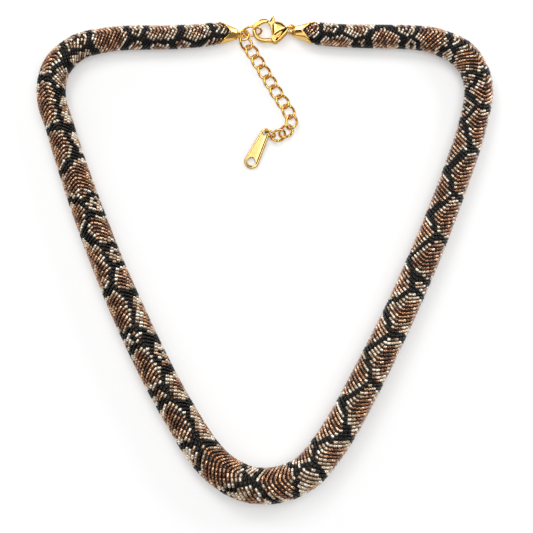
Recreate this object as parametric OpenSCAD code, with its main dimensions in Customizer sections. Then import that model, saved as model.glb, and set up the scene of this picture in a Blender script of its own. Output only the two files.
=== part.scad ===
// Snake-pattern bead rope necklace, lying flat in its closed loop.
// The rope is thin at the clasp and swells towards the front of the loop.
// +Z is up, the resting surface is z = 0, and the clasp is at the +Y side.
// The origin is the centre of the necklace's outline on that surface.

/* [Rope] */
// Sides of the rope's round section
rope_sides = 20; // [12:2:24]
// Longest step between two rings of the rope
rope_step = 8; // [5:1:12]
// Largest turn between two rings of the rope, in degrees
rope_turn = 9; // [6:1:14]

/* [End caps] */
// Half width of a cap at its mouth
cap_mouth_r = 3.9; // [3.7:0.05:4.2]
// Half width of a cap at its tip
cap_tip_r = 1.8; // [1.6:0.05:1.9]
// Half height of a cap at its tip
cap_tip_h = 1.3; // [1.1:0.05:1.4]
// Thickness of the cap's sheet metal
cap_wall = 0.35; // [0.3:0.05:0.5]
// Depth of the V notch in the cap's mouth
cap_notch = 3.7; // [3:0.1:4.5]

/* [Rings and chain] */
// Radius of a jump ring at the middle of its wire
ring_r = 1.65; // [1.6:0.01:1.7]
// Radius of the wire of the jump rings
ring_wire = 0.35; // [0.3:0.01:0.38]
// Half length of the oval hook ring at the middle of its wire
oval_a = 2.85; // [2.75:0.05:2.95]
// Half width of the oval hook ring at the middle of its wire
oval_b = 1.95; // [1.9:0.05:2]
// Half length of a chain link at the middle of its wire
link_a = 2.4; // [2.35:0.01:2.45]
// Half width of a chain link at the middle of its wire
link_b = 1.75; // [1.7:0.01:1.8]
// Rise of a chain link's twist above and below its middle
link_twist = 0.52; // [0.5:0.01:0.56]
// Radius of the wire of the chain links
link_wire = 0.36; // [0.32:0.01:0.4]

/* [Clasp] */
// Height of the clasp's middle plane above the surface
clasp_z = 2.2; // [2.1:0.05:2.4]
// Half height of the hook's band
hook_h = 0.95; // [0.8:0.05:1]
// Half width of the hook's band at its root
hook_w = 0.64; // [0.5:0.02:0.66]
// Half height of the slot that the lever swings in
slot_h = 0.72; // [0.7:0.01:0.8]
// Half thickness of the lever
lever_h = 0.6; // [0.5:0.01:0.62]
// Half height of the flat sides of the body
body_h = 1.4; // [1.3:0.05:1.5]
// Rise of each bulged cheek above the flat side
cheek_rise = 0.38; // [0.2:0.02:0.45]
// Radius of the lever's pin
pin_r = 0.4; // [0.35:0.01:0.42]
// Running gap around the pin
pin_gap = 0.05; // [0.03:0.01:0.08]

/* [Tag] */
// Distance between the tag's two holes
tag_len = 10.4; // [10.2:0.1:10.6]
// Radius of the tag's wide end
tag_wide_r = 2.4; // [2.2:0.1:2.6]
// Radius of the tag's narrow end
tag_narrow_r = 1.5; // [1.45:0.01:1.55]
// Thickness of the tag's plate
tag_th = 0.9; // [0.8:0.05:1]
// Radius of the hole in the wide end
tag_hole_r = 1.35; // [1.2:0.05:1.5]
// Radius of the hole in the narrow end
tag_eye_r = 0.9; // [0.88:0.01:0.95]
// Width of the raised rim along the tag's edge
tag_rim = 0.3; // [0.2:0.05:0.4]
// Slope of the tag, which its ring lifts at the narrow end, in degrees
tag_lift = 4.5; // [4:0.1:5]

/* [Hidden] */

gold = "goldenrod";
bright_gold = "gold";

// The middles of each cap's mouth and tip
left_mouth = [-15, 74.5, 3.85];
left_tip = [-9.1, 74.6, 2.4];
right_mouth = [16, 74.5, 3.85];
right_tip = [9.6, 75.4, 2.8];

// The rope's route on the surface, from the left cap round to the right cap.
// Columns: x, y, heading in degrees, radius of the rope.
rope_rows = [
    [-16, 74.4, -170, 3.8],
    [-32, 73, -178, 4.0],
    [-52, 72, -170, 4.1],
    [-61.5, 69, -147, 4.4],
    [-68, 61.5, -112, 4.8],
    [-69, 52, -83, 4.8],
    [-66, 42, -73, 4.7],
    [-53, 5, -69, 5.1],
    [-41, -23, -65, 5.4],
    [-27, -50, -59, 5.4],
    [-16, -66, -45, 5.6],
    [-7, -72, -21, 5.8],
    [2.5, -73, 7, 5.8],
    [12, -69.5, 34, 5.7],
    [19, -62, 53, 5.5],
    [29, -45.5, 62, 5.4],
    [47, -9, 66, 5.1],
    [62, 28, 70, 4.8],
    [68, 47, 77, 4.7],
    [69, 57, 98, 4.8],
    [65, 66, 131, 4.8],
    [57, 71, 159, 4.4],
    [47, 73, 177, 4.0],
    [17, 74.4, 172, 3.8]];

// The rope's tapered end inside a cap.
// Columns: share of the way from the cap's mouth to its tip, clearance to the sheet.
plug_rows = [[0, 0.15], [0.35, 0.15], [0.62, 0.15], [0.72, 0.6]];

// The chain links, from the chain ring to the tag: straight at first, then curled aside.
// Columns: step from the link before, the step's direction in degrees,
// then the link's own heading, roll and pitch in degrees, and the height of its middle.
chain_start = [-6.3, 72.1];
chain_rows = [
    [0,      0,  -60, -10, 12, 1.3],
    [3.6,  -56,  -58,   0,  0, 0.9],
    [3.95, -60,  -60,   0,  0, 0.9],
    [3.95, -60,  -60,   0,  0, 0.9],
    [3.95, -60,  -60,   0,  0, 0.9],
    [3.95, -60,  -60,   0,  0, 0.9],
    [3.9,  -58,  -55,   0,  0, 0.95],
    [3.9,  -60,  -65,   0,  0, 0.95],
    [3.8,  -75,  -95,   5, -8, 1.05],
    [3.6, -120, -140,   0,  0, 1.0],
    [2.9, -150, -155,  -5, -8, 1.3]];
link_steps = 16;
link_sides = 6;

// The loops soldered to the cap tips and the clasp's tail.
// Columns: x, y, z of the middle, then heading in degrees.
left_loop = [-8.4, 75.2, 1.6, -5];
right_loop = [8.7, 75.2, 2.6, 20];
tail_loop = [8.1, 76.7, 2.6, 0];
loop_r = 1;
loop_wire = 0.3;

// Each cap's section has a crease above and below: its neighbours are pulled in
cap_sides = 16;
ridge_low = 0.955;
// Solid metal at the cap's tip, behind the cavity
cap_reach = 1.2;

// The clasp's hook is an arc of an ellipse around its eye
eye = [-0.15, 75.9];
eye_rx = 3.25;
eye_ry = 3.38;
hook_start = -66;
hook_end = -292;
hook_steps = 22;
hook_sides = 10;
pivot = [3.3, 72.9];
boss_r = 1.25;
knuckle_r = 0.92;
play = 0.12;

function unit(v) = v / norm(v);
function along(heading) = [cos(heading), sin(heading)];
function turn_of(a, b) = abs((b[2] - a[2] + 540) % 360 - 180);

// Smooth curve from row a to row b that keeps both headings
function span_point(a, b, t) =
    let (reach = norm([b[0] - a[0], b[1] - a[1]]) / pow(cos(turn_of(a, b) / 4), 2),
        keep = 2 * t * t * t - 3 * t * t + 1,
        lead = t * t * t - 2 * t * t + t,
        tail = t * t * t - t * t)
    keep * [a[0], a[1]] + lead * reach * along(a[2])
        + (1 - keep) * [b[0], b[1]] + tail * reach * along(b[2]);
function span_steps(a, b) =
    max(ceil(norm([b[0] - a[0], b[1] - a[1]]) / rope_step), ceil(turn_of(a, b) / rope_turn));

// The rope's rings on the surface, as x, y, radius
rope_mids = concat(
    [for (i = [0 : len(rope_rows) - 2])
        let (a = rope_rows[i], b = rope_rows[i + 1], n = span_steps(a, b))
        for (k = [0 : n - 1])
            let (t = k / n, p = span_point(a, b, t), s = t * t * (3 - 2 * t))
            [p[0], p[1], a[3] + (b[3] - a[3]) * s]],
    [let (b = rope_rows[len(rope_rows) - 1]) [b[0], b[1], b[3]]]);

// A ring of points around mid, across the direction dir
function ring_of(mid, dir, r, sides) =
    let (side = unit(cross(dir, [0, 0, 1])), up = cross(side, dir))
    [for (k = [0 : sides - 1])
        let (angle = (k + 0.5) * 360 / sides)
        mid + r * (cos(angle) * side + sin(angle) * up)];

function cap_w(share) = cap_mouth_r + (cap_tip_r - cap_mouth_r) * share;
function cap_h(share) = cap_mouth_r + (cap_tip_h - cap_mouth_r) * share;
function plug_rings(mouth, tip, sign) =
    [for (row = plug_rows)
        ring_of(mouth + row[0] * (tip - mouth), sign * unit(tip - mouth),
            ridge_low * cap_h(row[0]) - cap_wall - row[1], rope_sides)];
function reversed(list) = [for (i = [len(list) - 1 : -1 : 0]) list[i]];
function flat_of(r) = r * cos(180 / rope_sides);

rope_rings = concat(
    reversed(plug_rings(left_mouth, left_tip, -1)),
    [for (i = [0 : len(rope_mids) - 1])
        let (here = rope_mids[i],
            last = rope_mids[max(i - 1, 0)],
            next = rope_mids[min(i + 1, len(rope_mids) - 1)],
            dir = unit([next[0] - last[0], next[1] - last[1], 0]))
        ring_of([here[0], here[1], flat_of(here[2])], dir, here[2], rope_sides)],
    plug_rings(right_mouth, right_tip, 1));

// Skin over a row of rings, closed by a flat face at each end
module skin(rings) {
    sides = len(rings[0]);
    count = len(rings);
    polyhedron(
        points = [for (ring = rings) each ring],
        faces = concat(
            [for (i = [0 : count - 2], k = [0 : sides - 1])
                let (a = i * sides + k, b = i * sides + (k + 1) % sides)
                each [[a, b, a + sides], [b, b + sides, a + sides]]],
            [[for (k = [sides - 1 : -1 : 0]) k]],
            [[for (k = [0 : sides - 1]) (count - 1) * sides + k]]),
        convexity = 10);
}

// Skin over a closed row of rings
module loop_skin(rings) {
    sides = len(rings[0]);
    count = len(rings);
    polyhedron(
        points = [for (ring = rings) each ring],
        faces = [for (i = [0 : count - 1], k = [0 : sides - 1])
            let (j = (i + 1) % count, m = (k + 1) % sides,
                a = i * sides + k, b = i * sides + m,
                c = j * sides + m, d = j * sides + k)
            each [[a, b, d], [b, c, d]]],
        convexity = 10);
}

module bead_rope() {
    color("saddlebrown") skin(rope_rings);
}

function cap_factor(k) = (k == 3 || k == 5 || k == 11 || k == 13) ? ridge_low : 1;
function cap_ring(share, d, inset) =
    [for (k = [0 : cap_sides - 1])
        let (angle = k * 360 / cap_sides, factor = cap_factor(k))
        [d, -(cap_w(share) * factor - inset) * cos(angle),
            (cap_h(share) * factor - inset) * sin(angle)]];

// Folded sheet cap: a creased cone with a V notch that shows the rope
module cap_shell(len) {
    floor_at = len - cap_reach;
    difference() {
        skin([cap_ring(0, 0, 0), cap_ring(1 - 0.3 / len, len - 0.3, 0), cap_ring(1, len, 0.3)]);
        skin([cap_ring(-1 / len, -1, cap_wall), cap_ring(floor_at / len, floor_at, cap_wall)]);
        linear_extrude(height = 12, center = true)
            polygon([[0, -cap_mouth_r - 0.01], [cap_notch, 0], [0, cap_mouth_r + 0.01],
                [-2, 5], [-2, -5]]);
    }
}
module cap(mouth, tip) {
    axis = tip - mouth;
    translate(mouth) rotate([0, asin(-axis[2] / norm(axis)), atan2(axis[1], axis[0])])
        cap_shell(norm(axis));
}
module wire_ring(r, wire) {
    rotate_extrude($fn = 48) translate([r, 0]) circle(r = wire, $fn = 24);
}
module upright_loop(row) {
    translate([row[0], row[1], row[2]]) rotate([90, 0, row[3]]) wire_ring(loop_r, loop_wire);
}
module left_cap() {
    color(bright_gold) union() {
        cap(left_mouth, left_tip);
        upright_loop(left_loop);
    }
}
module right_cap() {
    color(bright_gold) union() {
        cap(right_mouth, right_tip);
        upright_loop(right_loop);
    }
}

// Jump rings: place, tilt about their own Y axis, heading
module jump_ring(place, tilt, turn) {
    color(gold) translate(place) rotate([0, -tilt, turn]) wire_ring(ring_r, ring_wire);
}
module clasp_ring() {
    jump_ring([9.1, 76.3, 1.65], -50, 10);
}
module chain_ring() {
    jump_ring([-7, 74.6, 1.6], 5, 5);
}
module tag_ring() {
    jump_ring([1.75, 40.9, 1.95], 75, 65);
}
module hook_ring() {
    color(gold) translate([-4, 75.7, 2.4]) rotate([0, -60, 90])
        loop_skin([for (i = [0 : link_steps - 1])
            let (turn = i * 360 / link_steps,
                mid = [oval_b * cos(turn), oval_a * sin(turn), 0],
                dir = unit([-oval_b * sin(turn), oval_a * cos(turn), 0]))
            ring_of(mid, dir, ring_wire, link_sides)]);
}

// Curb link: an oval whose height goes up and down twice in one turn
function link_mid(turn) =
    [link_a * cos(turn), link_b * sin(turn), link_twist * sin(2 * turn)];
function link_dir(turn) =
    unit([-link_a * sin(turn), link_b * cos(turn), 2 * link_twist * cos(2 * turn)]);
function chain_at(i) =
    i == 0 ? chain_start : chain_at(i - 1) + chain_rows[i][0] * along(chain_rows[i][1]);
module link(i) {
    row = chain_rows[i];
    at = chain_at(i);
    color(gold) translate([at[0], at[1], row[5]]) rotate([row[3], row[4], row[2]])
        loop_skin([for (k = [0 : link_steps - 1])
            let (turn = k * 360 / link_steps)
            ring_of(link_mid(turn), link_dir(turn), link_wire, link_sides)]);
}

// Hook: an oval band swept round the eye, thinner towards its tip
function band_ring(mid, out, w, h) =
    [for (k = [0 : hook_sides - 1])
        let (angle = k * 360 / hook_sides)
        [mid[0] - w * cos(angle) * out[0], mid[1] - w * cos(angle) * out[1],
            clasp_z + h * sin(angle)]];
function hook_ring_at(turn) =
    let (mid = eye + [eye_rx * cos(turn), eye_ry * sin(turn)],
        out = unit([eye_ry * cos(turn), eye_rx * sin(turn)]),
        done = (turn - hook_start) / (hook_end - hook_start))
    band_ring(mid, out, hook_w * (1 - 0.2 * done), hook_h * (1 - 0.25 * done));
module hook() {
    skin([for (i = [0 : hook_steps])
        hook_ring_at(hook_start + (hook_end - hook_start) * i / hook_steps)]);
}
// The hook's foot runs on from its start into the boss
module hook_foot() {
    foot_out = unit([0.1, -1]);
    translate([0, 0, -clasp_z]) skin([
        band_ring([3.3, 72.35], foot_out, hook_w, hook_h),
        band_ring([2.3, 72.45], foot_out, hook_w, hook_h),
        hook_ring_at(hook_start),
        hook_ring_at(hook_start - 8)]);
}

// Outline of a bulged cheek, from its upper left corner round to the right
cheek_outline = [[2.45, 78.1], [3.3, 78.6], [4.4, 78.65], [5.6, 78.2], [6.6, 77.4],
    [7.25, 76.6], [6.95, 76.15], [5.3, 75.4], [4.1, 74.65], [3.2, 74.1],
    [2.7, 73.9], [2.4, 74.9], [2.3, 76.5]];
cheek_middle = [4.4, 76.6];
cheek_levels = [[0, 1], [0.45, 0.95], [0.8, 0.8], [1, 0.5]];
module cheek() {
    translate([0, 0, slot_h]) linear_extrude(height = body_h - slot_h) polygon(cheek_outline);
    translate([0, 0, body_h - 0.01]) skin([for (level = cheek_levels)
        [for (p = cheek_outline)
            let (q = cheek_middle + level[1] * (p - cheek_middle))
            [q[0], q[1], level[0] * cheek_rise]]]);
}

// Strut from the boss to the tail, below the cheek's lower edge
module strut() {
    linear_extrude(height = 2 * body_h, center = true)
        polygon([[3.3, 71.7], [3.9, 71.8], [4.8, 72.5], [6.2, 73.9], [7.3, 75.2], [7.55, 76.3],
            [7.2, 76.8], [6.8, 75.9], [5.3, 74.5], [3.9, 73.4], [3.3, 73.2]]);
}
module clasp_body() {
    color(gold) union() {
        hook();
        upright_loop(tail_loop);
        translate([0, 0, clasp_z]) {
            cheek();
            mirror([0, 0, 1]) cheek();
            difference() {
                union() {
                    hook_foot();
                    strut();
                    translate(pivot) cylinder(r = boss_r, h = 2 * body_h, center = true, $fn = 48);
                }
                linear_extrude(height = 2 * slot_h, center = true)
                    polygon([pivot + [0.9, -0.2], [4.5, 74.0], [6.3, 75.9], [7.0, 77.3], [7, 80],
                        [0.5, 80], [0.5, 76], pivot + [-1.5, 1.2], pivot + [-0.6, -0.2]]);
                translate(pivot)
                    cylinder(r = knuckle_r + play, h = 2 * slot_h, center = true, $fn = 48);
            }
            translate(pivot) cylinder(r = pin_r, h = 2 * body_h, center = true, $fn = 48);
        }
    }
}

// Lever: a knuckle on the pin, a gate that closes the eye, and a thumb tab
gate_outline = [[2.45, 73.0], [2.25, 74.3], [2.1, 75.6], [1.85, 76.9], [1.45, 77.9],
    [0.95, 78.45], [1.25, 78.95], [1.9, 79.2], [2.2, 80.5], [2.55, 80.85], [3.0, 80.75],
    [3.35, 79.6], [3.25, 78.6], [2.95, 77.4], [2.85, 76.0], [3.1, 74.8], [3.75, 73.6]];
module clasp_lever() {
    color(bright_gold) translate([0, 0, clasp_z]) difference() {
        union() {
            linear_extrude(height = 2 * lever_h, center = true) polygon(gate_outline);
            translate(pivot) cylinder(r = knuckle_r, h = 2 * lever_h, center = true, $fn = 48);
        }
        translate(pivot) cylinder(r = pin_r + pin_gap, h = 4 * lever_h, center = true, $fn = 48);
    }
}

// Tag: a flat drop with a round end about each hole and a raised rim
function drop_outline(inset) =
    let (lean = acos((tag_wide_r - tag_narrow_r) / tag_len), steps = 14)
    concat(
        [for (i = [0 : steps])
            (tag_narrow_r - inset) * along(-lean + 2 * lean * i / steps) + [tag_len, 0]],
        [for (i = [0 : steps])
            (tag_wide_r - inset) * along(lean + (360 - 2 * lean) * i / steps)]);
tag_place = [-4.32, 32.03];
tag_turn = 64.4;
tag_rim_h = 0.2;
module tag() {
    color(bright_gold)
        translate([tag_place[0], tag_place[1], (tag_wide_r) * sin(tag_lift)])
        rotate([0, -tag_lift, tag_turn]) difference() {
            union() {
                linear_extrude(height = tag_th) polygon(drop_outline(0));
                difference() {
                    linear_extrude(height = tag_th + tag_rim_h) polygon(drop_outline(0));
                    translate([0, 0, tag_th / 2]) linear_extrude(height = tag_th)
                        polygon(drop_outline(tag_rim));
                }
            }
            translate([0, 0, -1]) cylinder(r = tag_hole_r, h = 4, $fn = 48);
            translate([tag_len, 0, -1]) cylinder(r = tag_eye_r, h = 4, $fn = 48);
        }
}

bead_rope();
left_cap();
right_cap();
clasp_body();
clasp_lever();
clasp_ring();
chain_ring();
hook_ring();
link(0);  // link_01
link(1);  // link_02
link(2);  // link_03
link(3);  // link_04
link(4);  // link_05
link(5);  // link_06
link(6);  // link_07
link(7);  // link_08
link(8);  // link_09
link(9);  // link_10
link(10);  // link_11
tag_ring();
tag();
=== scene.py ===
# %% [markdown]
# # A snake-pattern bead rope necklace
#
# The necklace is a round rope of about nine thousand glass seed beads, which ends in two folded
# gold caps. A lobster clasp, some jump rings, an extender chain and a drop tag close it. The CAD
# frame holds the true sizes and the moving lever. This script dresses it: every piece is worked out
# with numpy in millimetres, from the same numbers as the part's source, and is stored in metres.

# %% Load the CAD frame
import math

import bpy
import numpy as np
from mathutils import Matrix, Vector


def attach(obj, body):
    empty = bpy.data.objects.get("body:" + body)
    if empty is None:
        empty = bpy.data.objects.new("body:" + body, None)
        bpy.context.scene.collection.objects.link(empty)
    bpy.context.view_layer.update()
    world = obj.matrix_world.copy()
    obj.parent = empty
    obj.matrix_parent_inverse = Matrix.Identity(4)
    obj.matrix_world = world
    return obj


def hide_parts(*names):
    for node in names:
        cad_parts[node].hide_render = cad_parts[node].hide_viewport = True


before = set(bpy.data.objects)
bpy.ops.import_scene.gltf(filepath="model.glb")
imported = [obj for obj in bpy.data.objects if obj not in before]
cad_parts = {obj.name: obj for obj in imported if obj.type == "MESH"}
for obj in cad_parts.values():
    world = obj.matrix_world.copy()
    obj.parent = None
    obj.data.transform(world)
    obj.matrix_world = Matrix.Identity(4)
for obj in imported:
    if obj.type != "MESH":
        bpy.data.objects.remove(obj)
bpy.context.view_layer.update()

# %% [markdown]
# ## The camera
#
# The photograph looks down at 78 degrees, from the front of the necklace. A long lens keeps the far
# side as wide as the near side. We place the camera first, so that each later piece can be judged
# from where the photograph was taken.

# %% Camera
MM = 0.001
AIM = np.array([0.5, -2.6, 0.0]) * MM
CAMERA_RISE = math.radians(78)
CAMERA_AWAY = 0.6
SENSOR_WIDE = 36
FOCAL_PIXELS = 1875
FRAME_PIXELS = 533

camera_data = bpy.data.cameras.new("photo_camera")
camera_data.sensor_width = SENSOR_WIDE
camera_data.lens = SENSOR_WIDE * FOCAL_PIXELS / FRAME_PIXELS
camera_data.clip_start = 0.01
camera_data.clip_end = 10
camera = bpy.data.objects.new("photo_camera", camera_data)
camera.location = AIM + CAMERA_AWAY * np.array([0, -math.cos(CAMERA_RISE), math.sin(CAMERA_RISE)])
camera.rotation_euler = (math.pi / 2 - CAMERA_RISE, 0, 0)
bpy.context.scene.collection.objects.link(camera)
bpy.context.scene.camera = camera
print("lens", round(camera_data.lens, 1), "mm")

# %% [markdown]
# ## Helpers for surfaces
#
# A tube, a ring, a link and a hook are all the same thing: a profile carried along a path. One
# function places the profile at each point of the path, one joins a grid of points into quads, and
# one puts the arrays into a Blender mesh without a loop over vertices.


# %% Mesh helpers
def unit(v):
    """Each vector over its own length."""
    return v / np.maximum(np.linalg.norm(v, axis=-1, keepdims=True), 1e-12)


def grid_faces(rows, columns, along=False):
    """Quads (i, j), (i, j+1), (i+1, j+1), (i+1, j) of a grid whose columns, and on request rows, close up."""
    i = np.arange(rows if along else rows - 1)[:, None]
    j = np.arange(columns)[None, :]
    i2, j2 = (i + 1) % rows, (j + 1) % columns
    corners = [i * columns + j, i * columns + j2, i2 * columns + j2, i2 * columns + j]
    return np.stack(corners, -1).reshape(-1, 4)


def outward_faces(points, faces):
    """The faces, turned round if six times their volume, the sum of (a x b) . c over fans, is negative."""
    volume = 0.0
    for group in faces:
        corner = points[group]
        for k in range(1, group.shape[1] - 1):
            volume += (np.cross(corner[:, 0], corner[:, k]) * corner[:, k + 1]).sum()
    return faces if volume > 0 else [group[:, ::-1] for group in faces]


# %% Pieces in Blender
def make_mesh(name, shells, closed=True):
    """An object from shells in millimetres: each has an array of points and a list of arrays of faces."""
    points, faces, first = [], [], 0
    for shell_points, shell_faces in shells:
        shell_points = np.asarray(shell_points, float)
        shell_faces = outward_faces(shell_points, shell_faces) if closed else shell_faces
        points.append(shell_points)
        faces += [np.asarray(group) + first for group in shell_faces]
        first += len(shell_points)
    sizes = np.concatenate([np.full(len(group), group.shape[1]) for group in faces])
    corners = np.concatenate([group.ravel() for group in faces])
    mesh = bpy.data.meshes.new(name)
    mesh.vertices.add(first)
    mesh.vertices.foreach_set("co", (np.concatenate(points) * MM).astype(np.float32).ravel())
    mesh.loops.add(len(corners))
    mesh.loops.foreach_set("vertex_index", corners.astype(np.int32))
    mesh.polygons.add(len(sizes))
    mesh.polygons.foreach_set("loop_start", (np.cumsum(sizes) - sizes).astype(np.int32))
    mesh.polygons.foreach_set("loop_total", sizes.astype(np.int32))
    mesh.polygons.foreach_set("use_smooth", np.full(len(sizes), True))
    mesh.update(calc_edges=True)
    mesh.validate()
    thing = bpy.data.objects.new(name, mesh)
    bpy.context.scene.collection.objects.link(thing)
    return thing


def dress(name, shells, node, body="necklace"):
    """A piece that stands for a CAD node and moves with its body."""
    thing = make_mesh(name, shells)
    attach(thing, body)
    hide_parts(node)
    return thing


# %% Profiles
def carry(path, across, up, profile):
    """Points of a profile carried along a path: path + across * x + up * y, for each profile point (x, y)."""
    profile = np.broadcast_to(profile, (len(path),) + profile.shape[-2:])
    return path[:, None] + across[:, None] * profile[..., :1] + up[:, None] * profile[..., 1:]


def circle(count, turn=0.5):
    """Points (cos, sin) at equal angles, the first one a share of a step from zero."""
    angle = (np.arange(count) + turn) * 2 * np.pi / count
    return np.stack([np.cos(angle), np.sin(angle)], -1)


print("helpers ready")

# %% [markdown]
# ## The rope's route
#
# The rope lies in a shield-shaped loop. The table gives it as a jeweller would describe it: a few
# points with the heading and the radius at each. Between two rows a Hermite curve keeps both
# headings. At each end the rope tapers into its cap and droops with it.

# %% Route table
ROUTE = np.array([
    # x and y in millimetres, heading in degrees, radius of the rope in millimetres
    [-16, 74.4, -170, 3.8],
    [-32, 73, -178, 4.0],
    [-52, 72, -170, 4.1],
    [-61.5, 69, -147, 4.4],
    [-68, 61.5, -112, 4.8],
    [-69, 52, -83, 4.8],
    [-66, 42, -73, 4.7],
    [-53, 5, -69, 5.1],
    [-41, -23, -65, 5.4],
    [-27, -50, -59, 5.4],
    [-16, -66, -45, 5.6],
    [-7, -72, -21, 5.8],
    [2.5, -73, 7, 5.8],
    [12, -69.5, 34, 5.7],
    [19, -62, 53, 5.5],
    [29, -45.5, 62, 5.4],
    [47, -9, 66, 5.1],
    [62, 28, 70, 4.8],
    [68, 47, 77, 4.7],
    [69, 57, 98, 4.8],
    [65, 66, 131, 4.8],
    [57, 71, 159, 4.4],
    [47, 73, 177, 4.0],
    [17, 74.4, 172, 3.8],
])
LEFT_MOUTH, LEFT_TIP = np.array([-15, 74.5, 3.85]), np.array([-9.1, 74.6, 2.4])
RIGHT_MOUTH, RIGHT_TIP = np.array([16, 74.5, 3.85]), np.array([9.6, 75.4, 2.8])
# a cap's radius at its mouth, its half width and half height at its tip, and its sheet's thickness
CAP_MOUTH, CAP_TIP_W, CAP_TIP_H, CAP_WALL = 3.9, 1.8, 1.3, 0.35
# the rope's end in a cap: how far in it goes, its size beside the folds, and its play, in shares and mm
PLUG_DEEP, PLUG_SHARE, PLUG_PLAY = 0.72, 0.955, 0.15


def hermite(a, b, t):
    """Curve between rows a and b: tangents follow the headings, chord / cos(turn / 4) squared long."""
    turn = np.radians(abs((b[2] - a[2] + 540) % 360 - 180))
    reach = np.hypot(*(b[:2] - a[:2])) / np.cos(turn / 4) ** 2
    ha, hb = (reach * np.array([np.cos(h), np.sin(h)]) for h in np.radians([a[2], b[2]]))
    t = t[:, None]
    keep = 2 * t**3 - 3 * t**2 + 1
    return keep * a[:2] + (t**3 - 2 * t**2 + t) * ha + (1 - keep) * b[:2] + (t**3 - t**2) * hb


def lay_route(steps=60):
    """Points of the rope's middle with its radius, from inside the left cap round to inside the right one."""
    t = np.arange(steps) / steps
    blend = (t * t * (3 - 2 * t))[:, None]
    parts = []
    for a, b in zip(ROUTE[:-1], ROUTE[1:]):
        radius = a[3] + (b[3] - a[3]) * blend
        parts.append(np.hstack([hermite(a, b, t), radius, radius]))
    parts.append(np.array([[*ROUTE[-1, :2], ROUTE[-1, 3], ROUTE[-1, 3]]]))
    share = np.linspace(0, PLUG_DEEP, 12)[:, None]
    plug = PLUG_SHARE * (CAP_MOUTH + (CAP_TIP_H - CAP_MOUTH) * share) - CAP_WALL - PLUG_PLAY
    left = np.hstack([LEFT_MOUTH + share * (LEFT_TIP - LEFT_MOUTH), plug])
    right = np.hstack([RIGHT_MOUTH + share * (RIGHT_TIP - RIGHT_MOUTH), plug])
    return np.vstack([left[::-1], *parts, right])


# %% Even steps along the route
STEP = 0.1
SMOOTHING = 17
route = lay_route()
way = np.concatenate([[0], np.cumsum(np.linalg.norm(np.diff(route[:, :3], axis=0), axis=1))])
even = np.arange(0, way[-1], STEP)
middle = np.stack([np.interp(even, way, route[:, k]) for k in range(4)], -1)
window = np.hanning(SMOOTHING) / np.hanning(SMOOTHING).sum()
padded = np.pad(middle, ((SMOOTHING // 2, SMOOTHING // 2), (0, 0)), mode="edge")
middle = np.stack([np.convolve(padded[:, k], window, "valid") for k in range(4)], -1)
tangent = unit(np.gradient(middle[:, :3], axis=0))
outward = unit(np.cross(tangent, [0, 0, 1]))
upward = np.cross(outward, tangent)
ROPE_LONG = even[-1]
print("rope length", round(ROPE_LONG, 1), "mm")


def on_tube(s, angle, radius):
    """Point on a tube round the rope: middle(s) + radius * (cos(angle) * up + sin(angle) * outward)."""
    s = np.clip(s, 0, ROPE_LONG)
    at = [np.stack([np.interp(s, even, v[:, k]) for k in range(3)], -1) for v in (middle, upward, outward)]
    return at[0] + radius[..., None] * (np.cos(angle)[..., None] * at[1] + np.sin(angle)[..., None] * at[2])
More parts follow.
